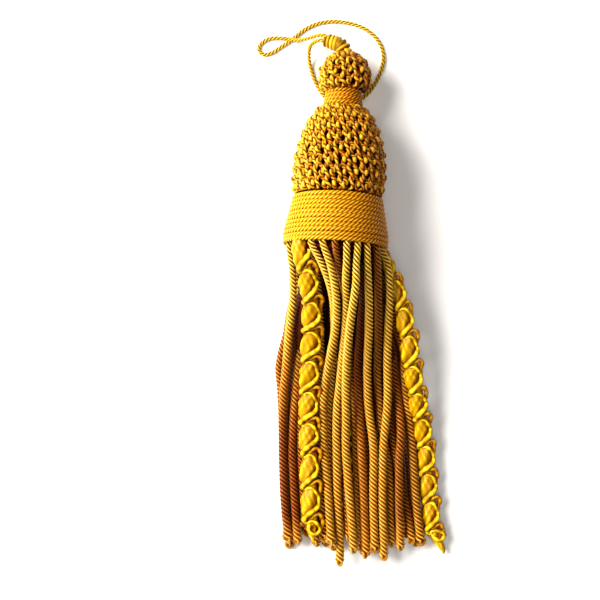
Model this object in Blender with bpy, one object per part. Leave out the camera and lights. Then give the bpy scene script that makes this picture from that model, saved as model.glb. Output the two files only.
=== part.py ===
"""A bullion tassel of gold rayon yarn, lying on its side, with the cord loop that it hangs from.

Metres, +Z up. The loop end points towards +Y and the fringe towards -Y. The origin is the small
flat spot under the band, where the head rests on the table.
"""

import math

import bpy
import numpy as np

MM = 0.001
GAP = 0.3 * MM

# The head, measured along its axis from the band's lower rim towards the knob
BAND_LENGTH = 17.3 * MM
BAND_TURNS = 11
BAND_RADIUS = {"rim": 18.5 * MM, "belly": 18.55 * MM, "top": 15.8 * MM}
BAND_BELLY_AT = 4.0 * MM
REST_TURN = 2
DOME_RADIUS = 16.8 * MM
DOME_WIDEST_AT = 25.5 * MM
DOME_TOP_AT = 49.2 * MM
DOME_OUTLINE = {  # height and radius in mm
    "height": (17.6, 21.0, 25.5, 30.0, 34.7, 38.2, 41.8, 45.3, 47.5, 49.2),
    "radius": (15.9, 16.4, 16.8, 16.5, 15.6, 14.6, 13.4, 11.6, 9.9, 7.6),
}
NECK_LENGTH = 7.4 * MM
NECK_TURNS = 5
NECK_RADIUS = 6.5 * MM
NECK_FLARE = 0.8 * MM
KNOB_AT = 62.4 * MM
KNOB_FOOT, KNOB_TOP = -7.6 * MM, 6.4 * MM
KNOB_RECESS = {"deep": 3.1 * MM, "radius": 7.6 * MM}
KNOB_OUTLINE = {  # height from the knob's middle and radius in mm
    "height": (-7.6, -5.5, -3.0, 0.0, 2.6, 4.4, 5.6, 6.4),
    "radius": (8.4, 9.5, 9.9, 9.6, 8.5, 6.9, 5.1, 3.3),
}
HEAD_LEANS = math.radians(3.3)
KNOB_TIPS = math.radians(5)
PRESSED_FLAT = 0.08 * MM

# The net of stitches over the dome and the knob
DOME_STITCHES = {"round": 24, "rows": 7, "hole": 1.6 * MM, "knot": 0.25 * MM}
KNOB_STITCHES = {"round": 14, "rows": 4, "hole": 1.6 * MM, "knot": 0.25 * MM}
NET_SLANT = 0.21

# The winding that closes the knob, and the hanging cord that comes out of it
COLLAR_LENGTH = 8.6 * MM
COLLAR_RADIUS = {"knob": 2.9 * MM, "mouth": 2.5 * MM}
COLLAR_TURNS = 5
COLLAR_BEND = math.radians(66)
COLLAR_BEND_RADIUS = 3.3 * MM
COLLAR_DROOP = 0.25
COLLAR_GROOVE = 0.35 * MM
CORD_RADIUS = 0.75 * MM
CORD_LAY = 5.0 * MM
CORD_STEP = CORD_LAY / 8

# The fringe: how far below the band each row of the strand table lies
FALLS = [f * MM for f in (0, 8, 17, 28, 41, 54, 72, 90, 106)]
FRINGE_END = 112 * MM
STATIONS = 19
STRAND_HALF = {"across": 1.4 * MM, "up": 1.4 * MM}
SCROLL_HALF = {"across": 2.9 * MM, "up": 2.4 * MM}
ROOM = 0.25 * MM
SCROLL_PITCH = 11 * MM
SCROLL_WAIST = 0.28
SCROLL_SLANT = 0.16
OUTER_RING, INNER_RING = 16.2 * MM, 10.4 * MM
INNER_PLACES = 13
BACKING_RADIUS, BACKING_THICK = 15.3 * MM, 2.5 * MM

# How the fringe settles: rounds of each stage, stiffness and fall of each round
FALLING, RESTING, PARTING = 220, 80, 80
STIFF_DOWN, STIFF_ACROSS = 4.0, 1.0
FALL_STEP = 0.3 * MM
PULL_SHOWN, PULL_UNDER = 0.15, 0.03

# Strands that show: ring, place round the ring in degrees clockwise from the top, rank when they
# cross (the higher lies on top), length in mm, and the way across in mm at each of FALLS
COLUMNS = ("ring", "place", "rank", "length", "across")
SHOWN = {
    "edge_left": (OUTER_RING, -80, 1, 104, (-16.3, -14.9, -14.7, -16.1, -17.0, -17.7, -18.1, -17.4, -16.0)),
    "behind_scroll": (OUTER_RING, -97, 0, 105, (-16.3, -13.8, -12.4, -12.9, -14.3, -15.2, -14.7, -13.5, -12.8)),
    "scroll_left": (OUTER_RING, -52, 3, 103, (-12.2, -10.5, -9.0, -8.8, -9.3, -9.9, -10.3, -9.7, -7.8)),
    "beside_scroll": (INNER_RING, -46, 1, 103, (-8.2, -7.5, -6.5, -5.8, -5.9, -6.3, -5.8, -4.7, -4.9)),
    "front_1": (OUTER_RING, -32, 1, 107, (-8.7, -3.5, -0.8, 0.1, -0.1, -0.6, -1.3, -1.3, -0.9)),
    "front_2": (OUTER_RING, -17, 3, 104, (-5.0, -1.8, -0.2, 0.0, -2.3, -4.4, -4.5, -3.0, -2.1)),
    "front_3": (OUTER_RING, -2, 0, 108, (-0.5, 1.5, 3.3, 4.9, 5.9, 6.5, 6.9, 7.1, 7.7)),
    "front_4": (OUTER_RING, 12, 2, 112, (3.6, 2.6, 3.6, 3.5, 2.3, 1.4, 0.8, 1.5, 2.2)),
    "front_5": (OUTER_RING, 26, 3, 107, (6.5, 5.8, 4.9, 4.1, 3.6, 3.5, 3.4, 4.5, 5.9)),
    "deep_1": (INNER_RING, 42, 1, 109, (5.6, 7.3, 8.4, 8.4, 7.8, 8.6, 9.4, 10.4, 11.3)),
    "front_6": (OUTER_RING, 40, 3, 107, (10.3, 10.5, 11.0, 11.1, 11.0, 11.5, 13.7, 13.6, 14.3)),
    "front_7": (OUTER_RING, 58, 1, 106, (14.2, 14.2, 14.7, 15.3, 15.7, 16.8, 19.1, 20.2, 20.2)),
    "front_8": (OUTER_RING, 77, 3, 110, (16.8, 18.2, 18.7, 18.5, 18.3, 18.7, 17.4, 17.0, 17.7)),
    "scroll_right": (OUTER_RING, 98, 3, 109, (16.0, 20.0, 23.7, 25.7, 27.6, 29.9, 32.9, 34.7, 37.4)),
    "deep_2": (OUTER_RING, 115, 1, 107, (14.7, 17.4, 19.6, 21.0, 22.0, 22.7, 22.5, 23.0, 23.4)),
    "deep_3": (OUTER_RING, 129, 0, 106, (12.6, 16.0, 19.2, 21.6, 23.4, 24.6, 24.7, 26.0, 27.3)),
    "edge_right": (INNER_RING, 97, 2, 105, (10.3, 14.6, 18.8, 22.2, 24.1, 25.9, 27.3, 28.7, 30.6)),
}
# Places on the outer ring of the strands that lie underneath, the third scroll among them
UNDER_PLACES = (142.5, 156.5, 171, 207, 221, 235, 249.5)
UNDER_SCROLL_PLACE = 189

# The route of the hanging cord in mm, from the collar and back to it
CORD_ROUTE = [
    (-12.4, 72.8, 4.4), (-16.0, 73.9, 1.4), (-19.8, 74.4, 0.75), (-23.4, 74.2, 0.75),
    (-26.4, 72.6, 0.75), (-27.4, 70.1, 0.75), (-25.6, 68.4, 0.75), (-22.6, 69.1, 0.75),
    (-19.3, 71.2, 0.75), (-16.2, 73.3, 0.75), (-13.5, 75.4, 0.75), (-10.6, 77.6, 0.75),
    (-6.3, 79.6, 0.75), (-1.5, 80.4, 0.75), (4.0, 80.1, 0.75), (8.9, 78.8, 0.75),
    (12.9, 76.6, 0.75), (15.9, 73.6, 0.75), (17.6, 70.1, 0.75), (18.0, 66.4, 0.75),
    (17.2, 62.8, 0.75), (15.7, 59.2, 0.75), (13.6, 55.8, 0.75), (10.8, 52.9, 0.75),
    (6.6, 51.2, 0.75), (1.2, 51.1, 0.75), (-3.2, 53.0, 0.75), (-6.2, 57.0, 0.75),
    (-7.9, 61.2, 0.75), (-8.9, 65.0, 1.6), (-9.1, 68.4, 4.2), (-8.3, 70.6, 7.2),
]

YARN = {
    "band_yarn": (0.70, 0.46, 0.07),
    "net_yarn": (0.60, 0.38, 0.06),
    "bullion_yarn": (0.62, 0.36, 0.05),
    "scroll_yarn": (0.80, 0.52, 0.04),
    "cord_yarn": (0.68, 0.44, 0.08),
}

TAN_TILT = (BAND_RADIUS["belly"] - DOME_RADIUS) / (DOME_WIDEST_AT - BAND_BELLY_AT)
HEAD_TILT = math.atan(TAN_TILT)
AXIS = np.array([
    math.sin(HEAD_LEANS) * math.cos(HEAD_TILT),
    math.cos(HEAD_LEANS) * math.cos(HEAD_TILT),
    -math.sin(HEAD_TILT),
])
ACROSS = np.array([math.cos(HEAD_LEANS), -math.sin(HEAD_LEANS), 0.0])
UP = np.cross(ACROSS, AXIS)
REST_AT = (REST_TURN + 0.5) * BAND_LENGTH / BAND_TURNS
RIM_CENTRE = UP * BAND_RADIUS["belly"] - AXIS * REST_AT - np.array([0, 0, PRESSED_FLAT])


def yarn(name):
    """A rayon yarn: a satin Principled surface."""
    if name in bpy.data.materials:
        return bpy.data.materials[name]
    material = bpy.data.materials.new(name)
    material.use_nodes = True
    shader = material.node_tree.nodes["Principled BSDF"]
    shader.inputs["Base Color"].default_value = (*YARN[name], 1)
    shader.inputs["Roughness"].default_value = 0.45
    shader.inputs["Metallic"].default_value = 0.0
    return material


def add_object(name, points, faces, material, crease=50):
    """A mesh object, smooth-shaded but for edges that turn by more than the crease angle."""
    mesh = bpy.data.meshes.new(name)
    mesh.from_pydata([tuple(p) for p in points], [], faces)
    mesh.shade_smooth()
    mesh.set_sharp_from_angle(angle=math.radians(crease))
    mesh.materials.append(yarn(material))
    thing = bpy.data.objects.new(name, mesh)
    bpy.context.scene.collection.objects.link(thing)
    return thing


def skin(rings):
    """The points and faces of one closed tube through rings of equally many points.

    Each ring runs anticlockwise as seen from the end that the rings advance towards.
    """
    rows, around = rings.shape[:2]
    faces = [
        (i * around + j, i * around + (j + 1) % around,
         (i + 1) * around + (j + 1) % around, (i + 1) * around + j)
        for i in range(rows - 1) for j in range(around)
    ]
    faces.append(tuple(reversed(range(around))))
    faces.append(tuple(range((rows - 1) * around, rows * around)))
    return rings.reshape(-1, 3), faces


def turned(along, radii, turn, axis=AXIS, across=ACROSS, start=RIM_CENTRE):
    """Rings round an axis: a distance along it for each row, a radius and an angle for each point."""
    up = np.cross(across, axis)
    centre = start + np.asarray(along)[:, None] * axis
    spoke = np.cos(turn)[..., None] * up + np.sin(turn)[..., None] * across
    return centre[:, None] + np.asarray(radii)[..., None] * spoke


def even_turn(rows, around):
    """Angles of the points round each ring, with a facet and not a corner at the bottom."""
    return np.tile((np.arange(around) + 0.5) * 2 * math.pi / around, (rows, 1))


def wound_profile(length, turns, radius_at, groove):
    """Heights and radii of a wound cord: each turn has a groove and a flat crown."""
    pitch = length / turns
    along, radii = [], []
    for turn in range(turns):
        for share, depth in ((0.0, groove), (0.3, 0.0), (0.7, 0.0)):
            along.append((turn + share) * pitch)
            radii.append(radius_at(along[-1]) - depth)
    along.append(length)
    radii.append(radius_at(length) - groove)
    return np.array(along), np.array(radii)


def on_table(rings):
    """Rings pressed flat where they would sink below the table."""
    rings[..., 2] = np.maximum(rings[..., 2], 0)
    return rings


def band_radius(along):
    """The band's radius: a short straight belly, then a taper to the top."""
    return np.interp(
        along, (0, BAND_BELLY_AT, BAND_LENGTH),
        (BAND_RADIUS["rim"], BAND_RADIUS["belly"], BAND_RADIUS["top"]),
    )


def outline_radius(outline, along):
    """The radius that an outline gives at each height."""
    return np.interp(along / MM, outline["height"], outline["radius"]) * MM


def neck_radius(along):
    """The neck's radius, which flares a little towards the dome."""
    return NECK_RADIUS + NECK_FLARE * (1 - along / NECK_LENGTH) ** 2


def net_relief(rows, around, stitches):
    """Depth of the net at each point: cords stand on even columns, holes lie between them."""
    row, column = np.meshgrid(np.arange(rows), np.arange(around), indexing="ij")
    hole = (row % 2 == 1) & (column % 2 == 1)
    knot = (row % 2 == 0) & (column % 2 == 0)
    return np.where(hole, stitches["hole"], 0) - np.where(knot, stitches["knot"], 0)


def make_band():
    along, radii = wound_profile(BAND_LENGTH, BAND_TURNS, band_radius, 0.45 * MM)
    turn = even_turn(len(along), 40)
    rings = on_table(turned(along, np.tile(radii[:, None], (1, 40)), turn))
    add_object("band", *skin(rings), "band_yarn")


def make_dome():
    around = 2 * DOME_STITCHES["round"]
    along = np.linspace(BAND_LENGTH + GAP, DOME_TOP_AT, 2 * DOME_STITCHES["rows"] + 1)
    depth = net_relief(len(along), around, DOME_STITCHES)
    turn = even_turn(len(along), around)
    turn -= (NET_SLANT * (along - DOME_WIDEST_AT) / DOME_RADIUS)[:, None]
    rings = on_table(turned(along, outline_radius(DOME_OUTLINE, along)[:, None] - depth, turn))
    add_object("dome_cover", *skin(rings), "net_yarn", crease=85)


def make_neck():
    along, radii = wound_profile(NECK_LENGTH, NECK_TURNS, neck_radius, 0.4 * MM)
    turn = even_turn(len(along), 24)
    rings = turned(along + DOME_TOP_AT + GAP, np.tile(radii[:, None], (1, 24)), turn)
    add_object("neck_binding", *skin(rings), "band_yarn")


def knob_axes():
    """The knob's own axis, tipped to the left of the head's, and its sideways direction."""
    axis = AXIS * math.cos(KNOB_TIPS) - ACROSS * math.sin(KNOB_TIPS)
    across = ACROSS * math.cos(KNOB_TIPS) + AXIS * math.sin(KNOB_TIPS)
    return axis, across


def make_knob():
    """The knob, with a shallow recess below that takes the end of the neck binding."""
    around = 2 * KNOB_STITCHES["round"]
    along = np.linspace(KNOB_FOOT, KNOB_TOP, 2 * KNOB_STITCHES["rows"] + 1)
    depth = net_relief(len(along), around, KNOB_STITCHES)
    depth[0], depth[-1] = 0, 0
    radii = outline_radius(KNOB_OUTLINE, along)[:, None] - depth
    along = np.concatenate([[KNOB_FOOT + KNOB_RECESS["deep"], KNOB_FOOT], along])
    inside = np.full((1, around), KNOB_RECESS["radius"])
    radii = np.concatenate([inside, inside, radii])
    axis, across = knob_axes()
    turn = even_turn(len(along), around)
    centre = RIM_CENTRE + AXIS * KNOB_AT
    rings = turned(along, radii, turn, axis, across, centre)
    add_object("knob_cover", *skin(rings), "net_yarn", crease=85)


def frames(path):
    """Unit directions along a path, and two carried along it without twist."""
    ahead = np.gradient(path, axis=0)
    ahead /= np.linalg.norm(ahead, axis=1)[:, None]
    side = np.cross(ahead[0], (0, 0, 1.0))
    sides = []
    for direction in ahead:
        side = side - direction * side.dot(direction)
        side = side / np.linalg.norm(side)
        sides.append(side)
    sides = np.array(sides)
    return ahead, sides, np.cross(ahead, sides)


def collar_path():
    """The collar's centreline: out of the knob's top, then in an arc over to the left."""
    axis, across = knob_axes()
    start = RIM_CENTRE + AXIS * KNOB_AT + axis * (KNOB_TOP + 2 * GAP)
    rows = 3 * COLLAR_TURNS
    step = COLLAR_LENGTH / rows
    bend = np.minimum(np.arange(rows + 1) * step / COLLAR_BEND_RADIUS, COLLAR_BEND)
    leftwards = across + np.array([0, 0, COLLAR_DROOP])
    leftwards /= np.linalg.norm(leftwards)
    heading = np.cos(bend)[:, None] * axis - np.sin(bend)[:, None] * leftwards
    steps = (heading[:-1] + heading[1:]) * step / 2
    return start + np.concatenate([[np.zeros(3)], np.cumsum(steps, axis=0)])


def make_collar():
    path = collar_path()
    ahead, side, above = frames(path)
    crown = np.arange(len(path)) % 3 != 0
    radii = np.linspace(COLLAR_RADIUS["knob"], COLLAR_RADIUS["mouth"], len(path))
    radii -= np.where(crown, 0, COLLAR_GROOVE)
    turn = even_turn(1, 16)[0]
    spoke = np.cos(turn)[None, :, None] * side[:, None] + np.sin(turn)[None, :, None] * above[:, None]
    rings = path[:, None] + radii[:, None, None] * spoke
    add_object("top_knot", *skin(rings), "cord_yarn")


def smooth_path(points, step):
    """Evenly spaced points on a centripetal Catmull-Rom curve through the given ones."""
    points = np.asarray(points, float)
    points = np.concatenate([[2 * points[0] - points[1]], points, [2 * points[-1] - points[-2]]])
    fine = []
    for a, b, c, d in zip(points, points[1:], points[2:], points[3:]):
        t = np.linspace(0, 1, 24, endpoint=False)[:, None]
        fine.append(0.5 * (2 * b + (c - a) * t + (2 * a - 5 * b + 4 * c - d) * t ** 2
                           + (3 * b - a - 3 * c + d) * t ** 3))
    fine = np.concatenate([*fine, [points[-2]]])
    reach = np.concatenate([[0], np.cumsum(np.linalg.norm(np.diff(fine, axis=0), axis=1))])
    even = np.linspace(0, reach[-1], round(reach[-1] / step) + 1)
    return np.stack([np.interp(even, reach, fine[:, k]) for k in range(3)], axis=1)


def make_cord():
    """The hanging loop: a three-ply twisted cord, both of whose ends go into the collar."""
    path = collar_path()
    ahead, side, above = frames(path)
    out = ahead[-1]
    mouth = path[-1] + out * 2.1 * GAP
    apart = np.cross(out, (0, 0, 1)) * (CORD_RADIUS + GAP / 2)
    first = [mouth + apart, mouth + apart + out * 2 * MM]
    last = [mouth - apart + out * 1.5 * MM, mouth - apart]
    route = smooth_path([*first, *(np.array(CORD_ROUTE) * MM), *last], CORD_STEP)
    route[:, 2] = np.maximum(route[:, 2], CORD_RADIUS)
    section = bpy.data.curves.new("cord_section", "CURVE")
    section.dimensions = "2D"
    ring = section.splines.new("POLY")
    ring.points.add(5)
    ring.use_cyclic_u = True
    for k, point in enumerate(ring.points):
        radius = CORD_RADIUS if k % 2 == 0 else CORD_RADIUS * 0.72
        angle = -k * math.pi / 3
        point.co = (radius * math.cos(angle), radius * math.sin(angle), 0, 1)
    guide = bpy.data.objects.new("cord_section", section)
    guide.hide_render = True
    guide.display_type = "WIRE"
    bpy.context.scene.collection.objects.link(guide)
    curve = bpy.data.curves.new("hanging_cord", "CURVE")
    curve.dimensions = "3D"
    curve.twist_mode = "MINIMUM"
    curve.bevel_mode = "OBJECT"
    curve.bevel_object = guide
    curve.use_fill_caps = True
    curve.materials.append(yarn("cord_yarn"))
    spline = curve.splines.new("POLY")
    spline.points.add(len(route) - 1)
    for k, (point, place) in enumerate(zip(spline.points, route)):
        point.co = (*place, 1)
        point.tilt = 2 * math.pi * k * CORD_STEP / CORD_LAY
    cord = bpy.data.objects.new("hanging_cord", curve)
    bpy.context.scene.collection.objects.link(cord)


def ring_place(ring, place):
    """Where a strand leaves the backing: a point on one of its two rings."""
    turn = math.radians(place)
    centre = RIM_CENTRE - AXIS * 2 * GAP
    return centre + ring * (math.sin(turn) * ACROSS + math.cos(turn) * UP)


def strand_list():
    """Every strand of the fringe: its root, half sizes, rank, length, way across, and pull to it."""
    falls = np.linspace(0, FRINGE_END, STATIONS)
    strands = {}
    for name, row in SHOWN.items():
        strand = dict(zip(COLUMNS, row))
        strand["across"] = np.interp(falls, FALLS, np.array(strand["across"]) * MM)
        strand["pull"] = PULL_SHOWN
        strands[name] = strand
    left, right = strands["edge_left"]["across"], strands["scroll_right"]["across"]
    hidden = {f"under_{k}": (OUTER_RING, place) for k, place in enumerate(UNDER_PLACES)}
    hidden["scroll_under"] = (OUTER_RING, UNDER_SCROLL_PLACE)
    taken = [s["place"] % 360 for s in strands.values() if s["ring"] == INNER_RING]
    for k in range(INNER_PLACES):
        place = (k + 0.5) * 360 / INNER_PLACES
        if min(abs(place - other) for other in taken) > 180 / INNER_PLACES:
            hidden[f"inner_{k}"] = (INNER_RING, place)
    for k, (name, (ring, place)) in enumerate(hidden.items()):
        share = 0.5 + 0.5 * math.sin(math.radians(place)) * ring / OUTER_RING
        length = 103 + 4 * math.sin(2.4 * k)
        strands[name] = {
            "ring": ring, "place": place, "rank": 0, "length": length,
            "across": left + (right - left) * share, "pull": PULL_UNDER,
        }
    for name, strand in strands.items():
        half = SCROLL_HALF if name.startswith("scroll") else STRAND_HALF
        strand["half"] = (half["across"], half["up"])
        strand["root"] = ring_place(strand["ring"], strand["place"])
        strand["across"][0] = strand["root"][0]
    return falls, strands


def bending(stiffness, count):
    """The matrix that straightens a strand held at its root: (1 + stiffness * bend energy)^-1."""
    second = np.eye(count) - 2 * np.eye(count, k=-1) + np.eye(count, k=-2)
    return np.linalg.inv(np.eye(count) + stiffness * second.T @ second)


def parted(places, reach, order, pairs):
    """How far each strand moves so that no two share room, at each cross-section.

    Two strands touch where the eighth-power mean of their distances across and up, each over the
    sum of their half sizes, is under one. Where their ranks differ, the higher one moves up.
    """
    apart = places[:, pairs[0]] - places[:, pairs[1]]
    share = apart / reach
    near = np.maximum((share ** 8).sum(-1) ** 0.125, 1e-3)
    way = np.sign(share) * np.abs(share / near[..., None]) ** 7
    ranked = np.stack([0.25 * np.sign(apart[..., 0]), order * np.ones_like(near)], -1)
    way = np.where((order != 0)[None, :, None], ranked, way)
    move = way * (np.clip(1 - near, 0, None)[..., None] * reach * 0.35)
    moves = np.zeros_like(places)
    for strand in range(places.shape[1]):
        moves[:, strand] += move[:, pairs[0] == strand].sum(1)
        moves[:, strand] -= move[:, pairs[1] == strand].sum(1)
    return moves


def settle(falls, strands):
    """Let the strands bend down from the band and come to rest in a heap on the table.

    Returns the way across and the height of every strand at each of the falls.
    """
    rows = list(strands.values())
    root = np.array([[s["root"][0], s["root"][2]] for s in rows])
    half = np.array([s["half"] for s in rows]) + ROOM
    rank = np.array([s["rank"] for s in rows])
    pull = np.array([s["pull"] for s in rows])
    wanted = np.array([s["across"] for s in rows]).T
    places = np.stack([wanted, np.tile(root[:, 1], (len(falls), 1))], -1)
    pairs = np.triu_indices(len(rows), 1)
    reach = half[pairs[0]] + half[pairs[1]]
    order = np.sign(rank[pairs[0]] - rank[pairs[1]])
    for step in range(FALLING + RESTING + PARTING):
        if step < FALLING + RESTING:
            ease = max(0.0, 1 - max(0, step - FALLING) / RESTING)
            down = bending(STIFF_DOWN * ease, len(falls) - 1)
            sideways = bending(STIFF_ACROSS * ease, len(falls) - 1)
            height = places[1:, :, 1] - root[:, 1] - FALL_STEP * ease
            places[1:, :, 1] = down @ height + root[:, 1]
            places[1:, :, 0] = sideways @ (places[1:, :, 0] - wanted[1:]) + wanted[1:]
            places[..., 0] += pull * ease * (wanted - places[..., 0])
            order_now = order
        else:
            order_now = np.zeros_like(order)
        moves = parted(places, reach, order_now, pairs)
        between = parted((places[1:] + places[:-1]) / 2, reach, order_now, pairs)
        places[1:] += moves[1:] + between / 2
        places[1:-1] += between[1:] / 2
        places[..., 1] = np.maximum(places[..., 1], half[:, 1])
        places[0] = root
    return places


def strand_path(falls, places, stops):
    """A strand's centreline at the given stops below the band, its room below it taken out."""
    across = np.interp(stops, falls, places[:, 0])
    height = np.interp(stops, falls, places[:, 1]) - ROOM
    return np.stack([across, RIM_CENTRE[1] - stops, height], axis=1)


def make_fringe():
    """The bullion strands on their backing, and the scroll strands beside them."""
    falls, strands = strand_list()
    places = settle(falls, strands)
    points, faces = [], []
    square = np.array([(1, -1), (1, 1), (-1, 1), (-1, -1)])
    for k, (name, strand) in enumerate(strands.items()):
        if name.startswith("scroll"):
            make_scroll(name, falls, places[:, k], strand)
            continue
        length = strand["length"] * MM
        path = strand_path(falls, places[:, k], np.append(falls[falls < length - 2 * MM], length))
        path[0] = strand["root"]
        rings = np.repeat(path[:, None], 4, axis=1)
        rings[..., 0] += square[:, 0] * STRAND_HALF["across"]
        rings[..., 2] += square[:, 1] * STRAND_HALF["up"]
        new_points, new_faces = skin(rings)
        faces += [tuple(i + len(points) for i in face) for face in new_faces]
        points += list(new_points)
    guide = add_object("strands", points, faces, "bullion_yarn")
    guide.hide_render = True
    guide.display_type = "WIRE"
    turn = even_turn(2, 32)
    disc = turned([-GAP - BACKING_THICK, -GAP], np.full((2, 32), BACKING_RADIUS), turn)
    skirt = add_object("skirt", *skin(disc), "bullion_yarn")
    union = skirt.modifiers.new("strands", "BOOLEAN")
    union.operation = "UNION"
    union.object = guide


def make_scroll(name, falls, places, strand):
    """A scroll strand: full lobes of floss, drawn in on a slant where its wrapping crosses."""
    around, steps = 6, 6
    length = strand["length"] * MM
    rise = math.cos(math.radians(strand["place"])) * OUTER_RING - SCROLL_HALF["up"]
    first = 2 * GAP + BACKING_THICK - TAN_TILT * rise
    stops = np.arange(first, length, SCROLL_PITCH / steps)
    path = strand_path(falls, places, stops)
    turn = np.arange(around) * 2 * math.pi / around
    phase = stops[:, None] / SCROLL_PITCH + SCROLL_SLANT * np.cos(turn)
    swell = 1 - SCROLL_WAIST * np.cos(math.pi * phase) ** 6
    swell *= np.clip((length - stops) / SCROLL_PITCH + 0.35, 0, 1)[:, None]
    swell *= np.clip((stops - first) / SCROLL_PITCH + 0.5, 0, 1)[:, None]
    rings = np.repeat(path[:, None], around, axis=1)
    rings[..., 0] += np.cos(turn) * SCROLL_HALF["across"] * swell
    rings[..., 2] += np.sin(turn) * SCROLL_HALF["up"] * swell
    add_object(name, *skin(rings), "scroll_yarn")


for thing in list(bpy.data.objects):
    bpy.data.objects.remove(thing, do_unlink=True)
make_band()
make_dome()
make_neck()
make_knob()
make_collar()
make_cord()
make_fringe()
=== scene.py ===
"""The looks of a bullion tassel of gold rayon yarn, lying on its side on a pale table."""

import math

import bpy
import numpy as np
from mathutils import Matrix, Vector


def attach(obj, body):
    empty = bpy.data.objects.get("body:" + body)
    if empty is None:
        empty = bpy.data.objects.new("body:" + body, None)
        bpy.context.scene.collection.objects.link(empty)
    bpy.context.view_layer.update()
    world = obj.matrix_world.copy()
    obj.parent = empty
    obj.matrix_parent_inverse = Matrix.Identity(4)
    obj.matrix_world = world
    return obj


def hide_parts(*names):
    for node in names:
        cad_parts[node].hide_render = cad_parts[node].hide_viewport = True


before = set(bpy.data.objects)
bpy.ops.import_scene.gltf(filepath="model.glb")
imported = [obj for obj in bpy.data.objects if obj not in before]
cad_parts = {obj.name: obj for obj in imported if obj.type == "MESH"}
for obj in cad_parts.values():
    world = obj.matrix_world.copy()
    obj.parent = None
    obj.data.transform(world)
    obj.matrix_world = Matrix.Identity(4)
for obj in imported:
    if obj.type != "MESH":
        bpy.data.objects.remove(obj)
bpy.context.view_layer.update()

# The camera looks straight down on the table from 420 mm, as the photograph does.
# The tassel lies across its view from the fringe, at the bottom, to the cord loop at the top.
MM = 0.001
PHOTO_SIDE = 600
PHOTO_FOCAL = 1151
lens = bpy.data.cameras.new("camera")
lens.sensor_width = 36
lens.lens = lens.sensor_width * PHOTO_FOCAL / PHOTO_SIDE
lens.clip_start, lens.clip_end = 0.01, 20
camera = bpy.data.objects.new("camera", lens)
camera.location = (-12.4 * MM, -20.96 * MM, 420 * MM)
bpy.context.scene.collection.objects.link(camera)
bpy.context.scene.camera = camera

# The hanging cord: one length of three-ply rayon cord, doubled into a loop whose two ends go into
# the winding on top of the knob. It lies loose on the table round the knob.
CORD_RADIUS = 0.75 * MM
CORD_LAY = 4.5 * MM
CORD_STEP = 0.35 * MM
CORD_ROUTE = [
    (-12.4, 72.8, 4.4), (-16.0, 73.9, 1.4), (-19.8, 74.4, 0.75), (-23.4, 74.2, 0.75),
    (-26.4, 72.6, 0.75), (-27.4, 70.1, 0.75), (-25.6, 68.4, 0.75), (-22.6, 69.1, 0.75),
    (-19.3, 71.2, 0.75), (-16.2, 73.3, 0.75), (-13.5, 75.4, 0.75), (-10.6, 77.6, 0.75),
    (-6.3, 79.6, 0.75), (-1.5, 80.4, 0.75), (4.0, 80.1, 0.75), (8.9, 78.8, 0.75),
    (12.9, 76.6, 0.75), (15.9, 73.6, 0.75), (17.6, 70.1, 0.75), (18.0, 66.4, 0.75),
    (17.2, 62.8, 0.75), (15.7, 59.2, 0.75), (13.6, 55.8, 0.75), (10.8, 52.9, 0.75),
    (6.6, 51.2, 0.75), (1.2, 51.1, 0.75), (-3.2, 53.0, 0.75), (-6.2, 57.0, 0.75),
    (-7.9, 61.2, 0.75), (-8.9, 65.0, 1.6), (-9.1, 68.4, 4.2), (-8.3, 70.6, 7.2),
]
# The head sets where the cord comes out. It leans to the right in the camera's view, it dips
# towards the dome, which is narrower than the band, and its knob tips back to the left.
HEAD_LEANS = math.radians(3.3)
KNOB_TIPS = math.radians(5)
BAND_LENGTH, BAND_TURNS, BAND_BELLY_AT = 17.3 * MM, 11, 4.0 * MM
BAND_RADIUS = {"rim": 18.5 * MM, "belly": 18.55 * MM, "top": 15.8 * MM}
REST_TURN = 2
PRESSED_FLAT = 0.08 * MM
DOME_RADIUS, DOME_WIDEST_AT = 16.8 * MM, 25.5 * MM
KNOB_AT, KNOB_TOP = 62.4 * MM, 6.4 * MM
COLLAR_LENGTH, COLLAR_BEND_RADIUS = 8.6 * MM, 3.3 * MM
COLLAR_BEND, COLLAR_DROOP = math.radians(66), 0.25
COLLAR_ROWS = 15
DOWN_INTO_COLLAR, OUT_OF_COLLAR = 1.5 * MM, {"first": 2 * MM, "last": 1.5 * MM}
GAP = 0.3 * MM
MOUTH_GAP = 2.1 * GAP

TAN_TILT = (BAND_RADIUS["belly"] - DOME_RADIUS) / (DOME_WIDEST_AT - BAND_BELLY_AT)
HEAD_TILT = math.atan(TAN_TILT)
AXIS = np.array([
    math.sin(HEAD_LEANS) * math.cos(HEAD_TILT),
    math.cos(HEAD_LEANS) * math.cos(HEAD_TILT),
    -math.sin(HEAD_TILT),
])
ACROSS = np.array([math.cos(HEAD_LEANS), -math.sin(HEAD_LEANS), 0.0])
UP = np.cross(ACROSS, AXIS)
REST_AT = (REST_TURN + 0.5) * BAND_LENGTH / BAND_TURNS
RIM_CENTRE = UP * BAND_RADIUS["belly"] - AXIS * REST_AT - np.array([0, 0, PRESSED_FLAT])
KNOB_AXIS = AXIS * math.cos(KNOB_TIPS) - ACROSS * math.sin(KNOB_TIPS)
KNOB_ACROSS = ACROSS * math.cos(KNOB_TIPS) + AXIS * math.sin(KNOB_TIPS)


def unit(vectors):
    """The same directions with length one."""
    return vectors / np.linalg.norm(vectors, axis=-1, keepdims=True)


def reach_of(path):
    """The distance along a path at each of its points."""
    return np.concatenate([[0], np.cumsum(np.linalg.norm(np.diff(path, axis=0), axis=1))])


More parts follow.
